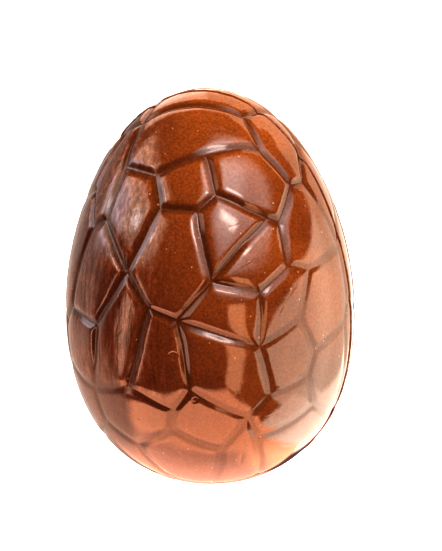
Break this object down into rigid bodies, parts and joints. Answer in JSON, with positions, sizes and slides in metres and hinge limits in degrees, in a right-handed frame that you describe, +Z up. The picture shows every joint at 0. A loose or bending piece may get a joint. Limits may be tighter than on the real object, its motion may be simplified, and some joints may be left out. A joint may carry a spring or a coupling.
{
  "type": "chocolate egg",
  "caption": "Glossy milk chocolate egg with a crackle relief of straight-sided tiles, lying on its side on a small flat spot.",
  "frame": {"origin": "middle of the egg's length and width, at the level of the flat spot that it rests on", "axes": "+Y along the egg towards its pointed end, +Z up through the shown side, +X towards the shown right side"},
  "size_m": [0.0618, 0.0861, 0.0614],
  "materials": {
    "milk_chocolate": "glossy tempered milk chocolate, as it leaves the mould"
  },
  "bodies": {
    "root": {"egg": "milk_chocolate"}
  },
  "joints": []
}
